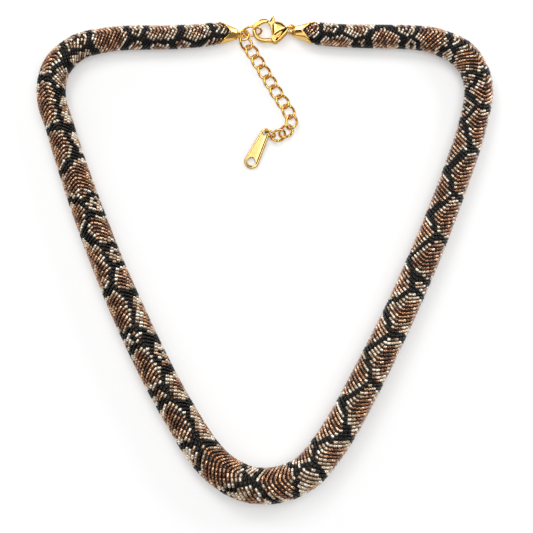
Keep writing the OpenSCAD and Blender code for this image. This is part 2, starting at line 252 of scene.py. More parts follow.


# %% [markdown]
# ## The bead chart
#
# A bead rope is woven in rows. On this one each row runs round the rope as a chevron, whose point
# looks back along the rope. The row pitch follows the rope's thickness, because the same number of
# beads goes round everywhere.
#
# A python's skin has saddles: rounded diamonds in two staggered columns, each with a dotted pale
# edge, and a dark net between them. The table places the saddles one by one, as a beader's chart does.

# %% Rows and columns
AROUND = 26
SWEEP = math.tan(math.radians(32))
SADDLES = np.array([
    # way along the rope, angle from the top (outer side positive), half length, half angle, tone:
    # 1 copper with one pale ring, 2 copper with two pale rings, 3 one pale ring round a speckled heart
    [3.5, 20, 3.0, 60, 3], [5, -62, 4.5, 26, 1], [11.5, 6, 5.5, 58, 2], [16.5, -60, 2.6, 30, 1],
    [23.5, 12, 6.5, 62, 2], [24, -62, 3.6, 26, 1], [31.8, -60, 3.0, 30, 1], [31, 22, 3.6, 50, 3],
    [40, -8, 7.2, 90, 1],
    [51, 15, 5.0, 60, 3], [53, -50, 6.0, 34, 3], [59.5, 38, 5.4, 54, 1], [64, -50, 6.0, 34, 2],
    [74, 32, 7.2, 62, 1], [77, -54, 6.4, 34, 2], [90.5, 32, 7.6, 62, 1], [87.5, -56, 3.8, 30, 2],
    [101, -10, 7.5, 96, 1], [111.5, 46, 4.4, 44, 1], [110.5, -34, 3.6, 40, 3], [119.5, -32, 6.2, 56, 1],
    [129.5, 44, 7.6, 54, 1], [128.5, -38, 3.8, 40, 3], [136.5, -42, 5.4, 46, 1], [146.5, 36, 7.0, 58, 1],
    [150, -46, 8.0, 40, 2], [156, 32, 3.4, 56, 3], [165.5, 34, 8.4, 60, 1], [164, -48, 5.0, 32, 3],
    [175.5, -44, 6.4, 50, 2], [175.5, 34, 2.6, 44, 3], [185.5, 32, 8.8, 62, 1], [189, -48, 7.6, 40, 2],
    [195.5, 52, 4.4, 44, 2], [204.5, -6, 9.0, 96, 1], [215.5, 62, 6.4, 62, 2], [214.5, -52, 3.4, 46, 3],
    [223.5, -14, 7.2, 92, 1], [231.5, 34, 4.8, 52, 2], [235, -52, 5.4, 44, 1], [241.5, 32, 6.4, 64, 2],
    [249.5, -38, 6.8, 60, 1], [259, 34, 8.0, 66, 2], [266.5, -44, 6.4, 52, 1], [276.5, 34, 8.4, 66, 2],
    [283, -50, 4.2, 42, 1], [292, 30, 8.2, 70, 2], [300, -48, 5.0, 50, 1], [301.5, 36, 2.8, 50, 3],
    [310.5, 34, 7.6, 66, 1], [317.5, -46, 5.2, 46, 1], [325.5, 36, 6.8, 66, 1], [333, -46, 5.4, 46, 1],
    [341, 36, 7.0, 66, 1], [350, -46, 6.4, 48, 1], [357.5, 32, 6.8, 68, 1], [362.8, -44, 3.4, 34, 3],
    [369, 28, 5.2, 72, 1], [373.5, -40, 3.0, 46, 3], [380.5, 0, 6.2, 94, 1], [387, 30, 3.2, 50, 3],
    [387.5, -52, 3.0, 34, 3], [394.5, -6, 6.4, 92, 1], [401.5, -56, 3.0, 34, 3], [403.5, 24, 4.6, 54, 3],
    [410, -34, 7.0, 66, 1], [419, 22, 5.6, 56, 2], [417, -50, 2.4, 30, 3], [425.5, -52, 5.6, 48, 1],
    [428, 26, 4.2, 48, 3], [434, 20, 3.6, 80, 1],
])
# way along the rope, and the angle at which the rows' points lie there
TWIST = np.array([[0, 18], [50, 18], [100, 0], [160, -2], [200, -14], [260, 2], [330, 6], [380, 24],
                  [440, 16]])
print("saddles", len(SADDLES))

# %% Bead places
# how the rows' pitch grows with the rope's radius, and the radii between which it does
PITCH_BASE, PITCH_GROWTH = 0.62, 0.137
THINNEST, FATTEST = 3.4, 6
ROWS_BEFORE = 9
# how blunt a row's point is, and the arc in radians that is taken off for that
BLUNTNESS, BLUNT_DROP = 0.03, 0.17


def row_pitch(radius):
    """Distance from row to row: 0.62 + 0.137 times the rope's radius, which is kept from 3.4 to 6 mm."""
    return PITCH_BASE + PITCH_GROWTH * np.clip(radius, THINNEST, FATTEST)


def row_ways():
    """Where each row's point lies along the rope: a pitch apart, from nine rows before its start."""
    step = row_pitch(middle[:, 3])
    count = np.concatenate([[0], np.cumsum(np.diff(even) / step[:-1])])
    rows = np.arange(-ROWS_BEFORE, int(count[-1]) + 1)
    return np.where(rows < 0, rows * row_pitch(THINNEST), np.interp(rows, count, even))


def wrapped(angle):
    """The same angle between minus and plus half a turn."""
    return (angle + np.pi) % (2 * np.pi) - np.pi


def chevron(angle, point):
    """Arc from a row's point in radians, as sqrt(away squared + 0.03), which makes the point blunt."""
    return np.sqrt(wrapped(angle - point) ** 2 + BLUNTNESS)


def chart():
    """Way and angle of every bead: a row's own way plus the sweep times the arc from its point."""
    start = row_ways()
    row, column = np.meshgrid(np.arange(len(start)), np.arange(AROUND), indexing="ij")
    angle = (column + 0.5 * (row % 2)) * 2 * np.pi / AROUND
    point = np.radians(np.interp(start, *TWIST.T))[:, None]
    radius = np.interp(start, even, middle[:, 3])[:, None]
    return start[:, None] + SWEEP * radius * (chevron(angle, point) - BLUNT_DROP), wrapped(angle)


bead_way, bead_angle = chart()
print("rows", len(bead_way), "beads", bead_way.size)

# %% [markdown]
# ## The colour of each bead
#
# A weaver reads the colours off a chart, bead by bead. Here each bead asks which saddle it lies
# deepest in. Where two saddles are nearly as deep, or none is near, it belongs to the dark net. Rings
# of beads are then peeled off a saddle to find its pale edge and its heart. A few beads change colour
# at random, because a real string has odd beads too.
#
# The photograph doesn't show the underside, so there the same chart is used again, turned over and
# moved along.

# %% Colours from the saddles
# depths in millimetres: how much deeper than in the next one, the least that counts, and the first guess
NET, NEAR_ENOUGH, NO_SADDLE = 1.5, -5, -9.0
# degrees from the top to where the underside begins, and how far the chart is moved there
SEEN_ROUND, UNDERSIDE_SHIFT = 115, 9
# the power that rounds a diamond, and the most pale rings that a saddle has
SADDLE_CURVE = 1.6
PALE_RINGS = 2


def saddle_cells(s, angle):
    """Each point's saddle, its depth in it and in the next one: (1 - superellipse) * the lesser half size."""
    below = np.abs(angle) > np.radians(SEEN_ROUND)
    folded = np.where(below, angle - np.sign(angle) * np.pi, angle)
    shifted = np.where(below, s + UNDERSIDE_SHIFT, s)
    radius = np.interp(s, even, middle[:, 3])
    best = np.full(s.shape, NO_SADDLE)
    second = best.copy()
    owner = np.zeros(s.shape, int)
    for number, (s0, a0, half, wide) in enumerate(SADDLES[:, :4]):
        along = np.abs(shifted - s0) / half
        across = np.abs(np.degrees(folded) - a0) / wide
        depth = 1 - (along**SADDLE_CURVE + across**SADDLE_CURVE) ** (1 / SADDLE_CURVE)
        depth = depth * np.minimum(half, np.radians(wide) * radius)
        second = np.maximum(second, np.minimum(depth, best))
        owner = np.where(depth > best, number, owner)
        best = np.maximum(best, depth)
    return owner, best, second


def colour_beads():
    """0 dark net, 1 copper heart, 2 pale edge: inside where the best depth beats the next one by the net."""
    owner, best, second = saddle_cells(bead_way, bead_angle)
    tone = SADDLES[owner, 4]
    inside = (best > NEAR_ENOUGH) & (best - second > NET)
    core = inside.copy()
    shells = inside * 0
    for _ in range(PALE_RINGS):
        beside = np.roll(core, 1, 1) & np.roll(core, -1, 1)
        along = np.vstack([core[1:], core[-1:]]) & np.vstack([core[:1], core[:-1]])
        core = core & beside & along
        shells += core
    rows, columns = np.indices(inside.shape)
    colour = np.where(inside & (shells < tone), 2, np.where(inside, 1, 0))
    speckle = np.where((rows + columns // 2 + (owner % 3)) % 2 == 0, 2, np.where(columns % 3 == 0, 1, 0))
    return np.where(inside & (tone == 3) & (shells > 0), speckle, colour)


# %% Odd beads
# a pale bead is copper when its draw is below the first, and a copper one pale above the second
PALE_TURNS, COPPER_TURNS = 0.12, 0.985
bead_colour = colour_beads()
dice = np.random.default_rng(11)
tint = dice.random(bead_colour.shape)
worn = dice.random(bead_colour.shape)
bead_colour = np.where((bead_colour == 2) & (worn < PALE_TURNS), 1, bead_colour)
bead_colour = np.where((bead_colour == 1) & (worn > COPPER_TURNS), 2, bead_colour)
print("dark, copper, pale:", np.bincount(bead_colour.ravel()))

# %% [markdown]
# ## The beads
#
# A seed bead is a short glass tube with rounded ends. With nearly nine thousand of them each one has
# to be plain: ten sides, a straight belt and two bevels. All beads of a colour in one half of the rope
# are one mesh, made by turning and stretching one template with whole arrays. The bead lies along its
# row, so its axis is the direction in which the row's curve runs.


# %% Bead template
def bead_template(end, belt, sides=10):
    """A unit bead along x: rings of radius end, 1, 1, end at -0.5, -belt, belt, 0.5, closed at both ends."""
    at = np.array([-0.5, -belt, belt, 0.5])
    size = np.array([end, 1, 1, end])
    ring = circle(sides)
    points = np.stack([
        np.repeat(at, sides),
        np.outer(size, ring[:, 0]).ravel(),
        np.outer(size, ring[:, 1]).ravel()], -1)
    ends = np.stack([np.arange(sides)[::-1], np.arange(sides) + 3 * sides])
    return points, grid_faces(4, sides), ends


# %% Beads on the rope
# a bead's radius in row pitches, how narrow it is along the rope, and how much of its place it fills
BEAD_THICK, NARROW, BEAD_FILL = 0.44, 0.78, 0.98
END_CLEAR = 0.3
SPREAD = [5, 50, 95]
# each colour's end radius, as a share of its belt's, and half the length of its belt
SHAPES = {"dark": (0.78, 0.38), "copper": (0.84, 0.42), "pale": (0.66, 0.33)}


def place_beads():
    """Centre, row direction, outward direction, length and radius of every bead, from its row's curve."""
    radius = np.interp(np.clip(bead_way, 0, ROPE_LONG), even, middle[:, 3])
    step = row_pitch(radius) * np.minimum(1, radius / THINNEST)
    thick = BEAD_THICK * step
    shell = radius - thick
    centre = on_tube(bead_way, bead_angle, shell)
    nudge = np.radians(3)
    point = np.radians(np.interp(bead_way, *TWIST.T))

    def beside(turn):
        """Each bead's row a little further round: the way shifts by the sweep times the change of arc."""
        shift = SWEEP * radius * (chevron(bead_angle + turn, point) - chevron(bead_angle, point))
        return on_tube(bead_way + shift, bead_angle + turn, shell)

    axis = unit(beside(nudge) - beside(-nudge))
    spread = np.linalg.norm(beside(nudge) - beside(-nudge), axis=-1) / (2 * nudge)
    out = unit(on_tube(bead_way, bead_angle, shell + 1) - centre)
    out = unit(out - (out * axis).sum(-1, keepdims=True) * axis)
    ahead = on_tube(bead_way + 0.5, bead_angle, shell) - on_tube(bead_way - 0.5, bead_angle, shell)
    side = np.cross(axis, out)
    room = np.abs((ahead * side).sum(-1)) * step
    return centre, axis, out, spread * 2 * np.pi / AROUND, np.minimum(thick, 0.5 * room)


bead_centre, bead_axis, bead_out, bead_length, bead_thick = place_beads()
print("bead length", np.percentile(bead_length, SPREAD).round(2), "mm")
print("bead radius", np.percentile(bead_thick, SPREAD).round(2), "mm")


def string_beads(name, chosen, end, belt):
    """One mesh of the chosen beads: centre + length * x * axis + radius * (y * side + z * outward)."""
    points, quads, ends = bead_template(end, belt)
    c, a, o = bead_centre[chosen], bead_axis[chosen], bead_out[chosen]
    side = np.cross(o, a)
    long = bead_length[chosen][:, None, None] * BEAD_FILL
    thick = bead_thick[chosen][:, None, None]
    x, y, z = (points[None, :, k, None] for k in range(3))
    verts = c[:, None] + long * x * a[:, None] + thick * (NARROW * y * side[:, None] + z * o[:, None])
    shift = (np.arange(len(c)) * len(points))[:, None, None]
    faces = [(quads + shift).reshape(-1, 4), (ends + shift).reshape(-1, ends.shape[1])]
    thing = make_mesh(name, [(verts.reshape(-1, 3), faces)])
    mark = thing.data.attributes.new("tint", "FLOAT", "POINT")
    mark.data.foreach_set("value", np.repeat(tint[chosen], len(points)).astype(np.float32))
    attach(thing, "necklace")
    print(name, len(c), "beads", sum(len(p.vertices) - 2 for p in thing.data.polygons), "triangles")
    return thing


kept = (bead_way > END_CLEAR) & (bead_way < ROPE_LONG - END_CLEAR)
left_half = bead_way < ROPE_LONG / 2
bead_sets = {}
for number, (word, (end, belt)) in enumerate(SHAPES.items()):
    for half, mask in (("left", left_half), ("right", ~left_half)):
        chosen = kept & mask & (bead_colour == number)
        bead_sets[word, half] = string_beads(f"{word}_beads_{half}", chosen, end, belt)

# %% [markdown]
# ## The thread
#
# Beads are strung on thread, and the rows are drawn up round a core of it. Only a dark ground shows
# between the beads, so one plain tube under them does the work of every strand. Its near-black colour
# is partly the thread's own and partly painted shade, the shade that lies deep between the beads. It
# stands for the solid tube of the frame, and it keeps light from shining through the rope.

# %% Thread core
CORE_INSET = 0.6


def rope_core(skip=12, sides=24):
    """Shell of the core: a tube 0.6 of a row pitch under the rope's outside, closed at both ends."""
    keep = np.arange(0, len(even), skip)
    radius = middle[keep, 3] - CORE_INSET * (PITCH_BASE + PITCH_GROWTH * middle[keep, 3])
    ring = circle(sides)[None] * radius[:, None, None]
    points = carry(middle[keep, :3], outward[keep], upward[keep], ring)
    ends = [np.arange(sides)[None, :], (np.arange(sides)[::-1] + (len(keep) - 1) * sides)[None, :]]
    return points.reshape(-1, 3), [grid_faces(len(keep), sides)[:, ::-1], *ends]


# the core's near-black colour is partly the thread's and partly painted shade between the beads
core = dress("thread_core", [rope_core()], "bead_rope")
print("core", len(core.data.polygons), "faces")

# %% [markdown]
# ## Wire rings
#
# A jump ring is a piece of round wire bent until its two cut ends meet. We carry a circle round the
# ring's middle line, and pinch the wire by a fifth where the ends touch, so that the saw cut shows.
# The loops that are soldered to the caps and to the clasp are the same shape, with a soft waist in
# place of the cut.


# %% Turned and moved shells
def turned(points, place=(0, 0, 0), roll=0, pitch=0, head=0):
    """Points turned about X by roll, then Y by pitch, then Z by head, in degrees, and moved to place."""
    points = np.array(points, float)
    for angle, i, j in ((roll, 1, 2), (pitch, 2, 0), (head, 0, 1)):
        c, s = math.cos(math.radians(angle)), math.sin(math.radians(angle))
        a, b = points[..., i].copy(), points[..., j].copy()
        points[..., i], points[..., j] = c * a - s * b, s * a + c * b
    return points + np.asarray(place, float)


def placed(shell, **how):
    """A shell turned and moved."""
    return turned(shell[0], **how), shell[1]


# %% Rings
RING_WIRE = 0.35
LOOP_RADIUS, LOOP_WIRE = 1.0, 0.3
# radians from the cut's middle to where the wire is whole and to its first even step, and the cut's size
CUT_HALF, CUT_LIP, PINCH = 0.012, 0.03, 0.8


def closed_wire(line, wire, sides=14):
    """Shell of a wire along a closed line: line + wire * (cos * across + sin * up), with across level."""
    way_on = unit(np.roll(line, -1, 0) - np.roll(line, 1, 0))
    across = unit(np.cross(way_on, [0, 0, 1]))
    up = np.cross(across, way_on)
    ring = circle(sides)[None] * np.broadcast_to(wire, len(line))[:, None, None]
    return carry(line, across, up, ring).reshape(-1, 3), [grid_faces(len(line), sides, along=True)]


def oval_ring(half_long, half_wide, wire, cut=True, steps=60):
    """Shell of a flat oval of wire, (long * cos t, wide * sin t, 0), pinched to four fifths at t = 0."""
    if cut:
        t = np.concatenate([[-CUT_HALF, 0, CUT_HALF], np.linspace(CUT_LIP, 2 * np.pi - CUT_LIP, steps)])
    else:
        t = np.linspace(0, 2 * np.pi, steps, endpoint=False)
    line = np.stack([half_long * np.cos(t), half_wide * np.sin(t), 0 * t], -1)
    return closed_wire(line, wire * np.where(t == 0, PINCH, 1))


def soldered_loop(x, y, z, head):
    """A small upright loop of wire of 0.3 mm radius, which stands in the plane that heads that way."""
    loop = oval_ring(LOOP_RADIUS, LOOP_RADIUS, LOOP_WIRE, cut=False)
    return placed(loop, place=(x, y, z), roll=90, head=head)


JUMP_RINGS = {
    # name: place in millimetres, tilt about its own Y, heading, half length, half width
    "clasp_ring": ((9.1, 76.3, 1.65), 50, 10, 1.65, 1.65),
    "chain_ring": ((-7, 74.6, 1.6), -5, 5, 1.65, 1.65),
    "tag_ring": ((1.75, 40.9, 1.95), -75, 65, 1.65, 1.65),
    "hook_ring": ((-4, 75.7, 2.4), -60, 90, 1.95, 2.85),
}
hardware = {}
for name, (place, pitch, head, half_long, half_wide) in JUMP_RINGS.items():
    shell = placed(oval_ring(half_long, half_wide, RING_WIRE), place=place, pitch=pitch, head=head)
    hardware[name] = dress(f"{name}_wire", [shell], name)
print("rings", len(hardware))

# %% [markdown]
# ## The extender chain
#
# A curb chain is a row of oval links, each twisted so that the next one lies flat in it. The twist is
# a height that rises and falls twice on the way round. Eleven links run from the ring on the left cap
# down to the tag, and the last few curl aside, as the table's headings show.

# %% Chain links
LINK_HALF_LONG, LINK_HALF_WIDE, LINK_RISE, LINK_WIRE = 2.4, 1.75, 0.52, 0.39
CHAIN_START = np.array([-6.3, 72.1])
LINKS = np.array([
    # step from the link before in mm, the way it goes, then heading, roll, pitch and the middle's height
    [0, 0, -60, -10, 12, 1.3],
    [3.6, -56, -58, 0, 0, 0.9],
    [3.95, -60, -60, 0, 0, 0.9],
    [3.95, -60, -60, 0, 0, 0.9],
    [3.95, -60, -60, 0, 0, 0.9],
    [3.95, -60, -60, 0, 0, 0.9],
    [3.9, -58, -55, 0, 0, 0.95],
    [3.9, -60, -65, 0, 0, 0.95],
    [3.8, -75, -95, 5, -8, 1.05],
    [3.6, -120, -140, 0, 0, 1.0],
    [2.9, -150, -155, -5, -8, 1.3],
])
ways = np.radians(LINKS[:, 1])
moves = LINKS[:, :1] * np.stack([np.cos(ways), np.sin(ways)], -1)
link_places = np.hstack([CHAIN_START + np.cumsum(moves, axis=0), LINKS[:, 5:]])


def curb_link(steps=64):
    """Shell of one link: (2.4 cos t, 1.75 sin t, 0.52 sin 2t) for the middle of a wire of 0.39 mm radius."""
    t = np.linspace(0, 2 * np.pi, steps, endpoint=False)
    line = np.stack([LINK_HALF_LONG * np.cos(t), LINK_HALF_WIDE * np.sin(t), LINK_RISE * np.sin(2 * t)], -1)
    return closed_wire(line, LINK_WIRE)


for number, (place, row) in enumerate(zip(link_places, LINKS), 1):
    name = f"link_{number:02d}"
    shell = placed(curb_link(), place=place, head=row[2], roll=row[3], pitch=row[4])
    hardware[name] = dress(f"{name}_wire", [shell], name)
print("links", len(LINKS))

# %% [markdown]
# ## The end caps
#
# Each cap is cut from gold sheet and folded over the rope's end. It is a cone with eight facets: a
# ridge above and below, and a V cut that leaves two pointed petals and lets the beads show. A facet
# is nearly flat, so it holds one clean reflection, and the fold beside it flips from light to dark.
# We lay columns close on both sides of each fold and few between them.

# %% Cap sheet
# the folds' angles in degrees, how far each facet dips, and the columns next to a fold
FOLDS = np.array([0, 42, 90, 138, 180, 222, 270, 318, 360])
DIPS = np.array([0.03, 0.06, 0.06, 0.03, 0.03, 0.06, 0.06, 0.03])
NEAR_FOLD, BY_FOLD = 1.5, 5
# the V's depth and its half width at the mouth, and the rows of points inside and outside
NOTCH_DEEP, NOTCH_HALF = 3.7, 3.91
CAP_ROWS = 9
# the cap's solid end, the rounding of its tip, the inset halfway round that, and the lip at its edge
CAP_END, CAP_ROUND, CAP_ROUND_MID, CAP_LIP = 1.2, 0.3, 0.09, 0.07


def cap_columns():
    """Column angles, close together at the folds, and their sizes: 1 - dip * sin(pi * share of the facet)."""
    wide = np.diff(FOLDS)[:, None]
    level = 0 * wide
    inside = np.hstack([level + NEAR_FOLD, level + BY_FOLD, wide * [[0.3, 0.5, 0.7]],
                        wide - BY_FOLD, wide - NEAR_FOLD])
    share = inside / wide
    return np.radians(FOLDS[:-1, None] + inside).ravel(), (1 - DIPS[:, None] * np.sin(np.pi * share)).ravel()


def cap_sheet(mouth, tip):
    """Shell of a folded cap: its section at x is (-w f cos a, h f sin a), less a wall inside.

    The width w and height h shrink evenly from mouth to tip, and f is the facets' dip. Every column
    starts at the V's edge, where w f |cos a| = 3.91 * (1 - x / 3.7).
    """
    axis = tip - mouth
    long = np.linalg.norm(axis)
    angle, dip = cap_columns()
    side = np.abs(np.cos(angle)) * dip
    shrink = (CAP_MOUTH - CAP_TIP_W) * side / long
    edge = np.maximum((NOTCH_HALF - CAP_MOUTH * side) / (NOTCH_HALF / NOTCH_DEEP - shrink), 0)
    share = np.linspace(0, 1, CAP_ROWS)[:, None]
    skin = edge + share * (long - CAP_ROUND - edge)
    room = edge + share[::-1] * (np.maximum(long - CAP_END, edge + 0.05) - edge)
    end = 0 * edge + long
    along = np.vstack([room, edge - CAP_LIP, skin, end - CAP_ROUND_MID, end])
    inner, outer = np.full(CAP_ROWS, CAP_WALL), np.zeros(CAP_ROWS)
    inset = np.concatenate([inner, [CAP_WALL / 2], outer, [CAP_ROUND_MID, CAP_ROUND]])[:, None]
    wide = (CAP_MOUTH + (CAP_TIP_W - CAP_MOUTH) * along / long) * dip - inset
    high = (CAP_MOUTH + (CAP_TIP_H - CAP_MOUTH) * along / long) * dip - inset
    points = np.stack([along, -wide * np.cos(angle), high * np.sin(angle)], -1)
    rows, columns = along.shape
    ends = [np.arange(columns)[None, ::-1], np.arange(columns)[None] + (rows - 1) * columns]
    pitch = math.degrees(math.asin(-axis[2] / long))
    head = math.degrees(math.atan2(axis[1], axis[0]))
    return turned(points.reshape(-1, 3), mouth, 0, pitch, head), [grid_faces(rows, columns), *ends]


for name, mouth, tip, loop in (("left_cap", LEFT_MOUTH, LEFT_TIP, (-8.4, 75.2, 1.6, -5)),
                               ("right_cap", RIGHT_MOUTH, RIGHT_TIP, (8.7, 75.2, 2.6, 20))):
    hardware[name] = dress(f"{name}_sheet", [cap_sheet(mouth, tip), soldered_loop(*loop)], name)
print("cap columns", len(cap_columns()[0]))

# %% [markdown]
# ## The lobster clasp
#
# The clasp is cast: a thick hook that bends round the eye, two bulged cheeks with a slot between
# them, a strut to the tail, and a boss with a rivet. The lever turns on the rivet inside the slot, and
# its thumb tab stands out above. Each part is a band carried along a curve, a plate whose edge is
# rounded over or, for the cheeks, a stack of outlines that shrink as they rise.


# %% Plates
def smooth_outline(corners, each=8):
    """Closed curve through the corners: cubic pieces whose slopes join each corner's two neighbours."""
    corners = np.asarray(corners, float)
    ahead, behind = np.roll(corners, -1, 0), np.roll(corners, 1, 0)
    reach = np.linalg.norm(ahead - corners, axis=1)[:, None]
    slope = (ahead - behind) / (reach + np.roll(reach, 1, 0))
    t = (np.arange(each) / each)[None, :, None]
    keep = 2 * t**3 - 3 * t**2 + 1
    line = (keep * corners[:, None] + (1 - keep) * ahead[:, None]
            + (t**3 - 2 * t**2 + t) * (slope * reach)[:, None]
            + (t**3 - t**2) * (np.roll(slope, -1, 0) * reach)[:, None])
    line = line.reshape(-1, 2)
    area = (line[:, 0] * np.roll(line[:, 1], -1) - line[:, 1] * np.roll(line[:, 0], -1)).sum()
    return line if area > 0 else line[::-1]


def moved_in(line, by):
    """Closed outline moved inwards: point - by * outward normal, with one outline for each distance."""
    way_on = unit(np.roll(line, -1, 0) - np.roll(line, 1, 0))
    normal = np.stack([way_on[:, 1], -way_on[:, 0]], -1)
    return line - np.asarray(by)[..., None, None] * normal


def plate(line, low, high, edge):
    """Shell of a plate between two heights, its edge rounded by a quarter circle above and below."""
    turn = np.radians([90, 65, 40, 18, 0])
    by = edge * (1 - np.cos(turn))
    by = np.concatenate([[edge + 0.03], by, by[::-1], [edge + 0.03]])
    z = edge * (1 - np.sin(turn))
    z = np.concatenate([[low], low + z, high - z[::-1], [high]])
    rows, columns = len(z), len(line)
    points = np.concatenate([moved_in(line, by), np.broadcast_to(z[:, None, None], (rows, columns, 1))], -1)
    ends = [np.arange(columns)[None, ::-1], np.arange(columns)[None] + (rows - 1) * columns]
    return points.reshape(-1, 3), [grid_faces(rows, columns), *ends]


# %% Clasp outlines
PIVOT = np.array([3.3, 72.9])
EYE = np.array([-0.15, 75.9])
CLASP_Z = 2.2
CHEEK = smooth_outline([(2.45, 78.1), (3.3, 78.6), (4.4, 78.65), (5.6, 78.2), (6.6, 77.4), (7.25, 76.6),
                        (6.95, 76.15), (5.3, 75.4), (4.1, 74.65), (3.2, 74.1), (2.7, 73.9), (2.4, 74.9),
                        (2.3, 76.5)])
STRUT = smooth_outline([(3.3, 71.7), (3.9, 71.8), (4.8, 72.5), (6.2, 73.9), (7.3, 75.2), (7.55, 76.3),
                        (7.2, 76.8), (6.8, 75.9), (5.3, 74.5), (3.9, 73.4), (3.3, 73.2)])
STRUT_BACK = smooth_outline([(4.6, 72.5), (6.15, 73.95), (7.22, 75.25), (7.45, 76.25), (7.2, 76.6),
                             (6.85, 75.8), (5.35, 74.42), (4.5, 73.6)])
print("outline points", len(CHEEK), len(STRUT), len(STRUT_BACK))

# %% Clasp shells
# heights from the clasp's middle plane: the slot's side, the arm's outside, and the ends of the back
SLOT_HALF, ARM_TOP, BACK_HALF = 0.72, 1.4, 0.78
CHEEK_MIDDLE = np.array([4.4, 76.6])
CHEEK_WALL, CHEEK_BULGE = 1.12, 0.66
BOSS_RADIUS, RIVET_RADIUS, PIN_RADIUS = 1.25, 0.5, 0.4
BACK_OUTER, BACK_INNER = 1.23, 1.07
HOOK_ROOT = np.array([[2.25, 72.46], [1.95, 72.5], [1.6, 72.55], [1.2, 72.57], [0.75, 72.57]])
HOOK_RADII = np.array([3.32, 3.38])
HOOK_HALF_WIDE, HOOK_HALF_HIGH, NOSE_LONG = 0.68, 0.95, 0.5
# the swelling's height, its place as a share of the hook's way, and its spread
CROWN_HIGH, CROWN_AT, CROWN_SPREAD = 0.26, 0.74, 0.17


def bulged_cheek():
    """Shell of a cheek: a wall, then rings shrunk to q at height 1.12 + 0.66 * sqrt(1 - q to the 2.4)."""
    q = np.array([0.985, 1, 1, 0.985, 0.95, 0.88, 0.77, 0.62, 0.44, 0.24, 0.08])
    z = np.concatenate([[SLOT_HALF, 0.76], CHEEK_WALL + CHEEK_BULGE * np.sqrt(1 - q[2:] ** 2.4)])
    flat = CHEEK_MIDDLE + q[:, None, None] * (CHEEK - CHEEK_MIDDLE)
    points = np.concatenate([flat, np.broadcast_to(z[:, None, None], flat.shape[:2] + (1,))], -1)
    ends = [np.arange(len(CHEEK))[None, ::-1], np.arange(len(CHEEK))[None] + (len(q) - 1) * len(CHEEK)]
    return points.reshape(-1, 3), [grid_faces(len(q), len(CHEEK)), *ends]


def hook_band(sides=24):
    """Shell of the hook: a squarish oval, 1.36 by 1.9 mm at the root, carried round the eye to the tip.

    It thins by a tenth across and a quarter in height, swells inwards by a bell curve three quarters
    of the way along, and ends in a round nose.
    """
    turn = np.radians(np.arange(-82, -292.1, -3))
    arc = EYE + HOOK_RADII * np.stack([np.cos(turn), np.sin(turn)], -1)
    flat = np.vstack([HOOK_ROOT, arc])
    done = np.clip((np.arange(len(flat)) - len(HOOK_ROOT) + 1) / (len(flat) - len(HOOK_ROOT)), 0, 1)
    way_on = unit(np.gradient(flat, axis=0))
    line = np.hstack([flat, np.zeros((len(flat), 1))])
    out = np.stack([-way_on[:, 1], way_on[:, 0], 0 * done], -1)
    up = np.broadcast_to([0, 0, 1.0], out.shape)
    corner = circle(sides)
    corner = np.sign(corner) * np.abs(corner) ** (2 / 2.7)
    left = np.linalg.norm(flat - flat[-1], axis=1)
    nose = np.sqrt(1 - np.clip(1 - left / NOSE_LONG, 0, 0.92) ** 2)
    crown = CROWN_HIGH * np.exp(-((done - CROWN_AT) / CROWN_SPREAD) ** 2)
    line[:, :2] += 0.8 * crown[:, None] * unit(EYE - flat)
    half_wide = (HOOK_HALF_WIDE * (1 - 0.1 * done) + crown) * nose
    half_high = HOOK_HALF_HIGH * (1 - 0.25 * done) * nose
    size = np.stack([half_wide, half_high], -1)
    points = carry(line, out, up, corner[None] * size[:, None]).reshape(-1, 3)
    ends = [np.arange(sides)[None, ::-1], np.arange(sides)[None] + (len(flat) - 1) * sides]
    return points, [grid_faces(len(flat), sides), *ends]


def back_wall():
    """Outline of the boss's closed back: an arc 1.23 mm from the pivot, and back on one 1.07 mm from it."""
    turn = np.radians(np.linspace(190, 320, 27))
    ray = np.stack([np.cos(turn), np.sin(turn)], -1)
    return PIVOT + np.vstack([BACK_OUTER * ray, BACK_INNER * ray[::-1]])


# %% Clasp body
mirror = lambda shell: (shell[0] * [1, 1, -1], [f[:, ::-1] for f in shell[1]])
disc = plate(PIVOT + BOSS_RADIUS * circle(40), SLOT_HALF, ARM_TOP, 0.22)
rivet = plate(PIVOT + RIVET_RADIUS * circle(24), 1.2, 1.5, 0.2)
arm = plate(STRUT, SLOT_HALF, ARM_TOP, 0.25)
pin = plate(PIVOT + PIN_RADIUS * circle(24), -1.3, 1.3, 0.05)
strut_back = plate(STRUT_BACK, -BACK_HALF, BACK_HALF, 0.05)
boss_back = plate(back_wall(), -BACK_HALF, BACK_HALF, 0.02)
body_shells = [hook_band(), bulged_cheek(), disc, rivet, arm]
body_shells += [mirror(shell) for shell in body_shells[1:]]
body_shells += [pin, strut_back, boss_back]
body_shells = [(shell[0] + [0, 0, CLASP_Z], shell[1]) for shell in body_shells]
body_shells.append(soldered_loop(8.1, 76.7, 2.6, 0))
hardware["clasp_body"] = dress("clasp_casting", body_shells, "clasp_body")
print("clasp shells", len(body_shells))

# %% [markdown]
# ## The clasp's lever
#
# The lever closes the hook. It is cut from one plate: an eye that sits on the pin, an arm along the
# gap and a thumb tab. It rides on its own body, so that it turns about the pin with the joint.

# %% Lever
LEVER_HALF = 0.6
# the eye's middle circle, half its ring's width, and the power that squares its section
KNUCKLE_RADIUS, KNUCKLE_HALF, KNUCKLE_POWER = 0.685, 0.235, 2 / 6
GATE = smooth_outline([(2.45, 73.0), (2.25, 74.3), (2.1, 75.6), (1.85, 76.9), (1.45, 77.9), (0.95, 78.45),
                       (1.25, 78.95), (1.98, 79.2), (2.25, 80.5), (2.55, 80.83), (2.92, 80.74), (3.22, 79.6),
                       (3.25, 78.6), (2.95, 77.4), (2.85, 76.0), (3.1, 74.8), (3.75, 73.6)])


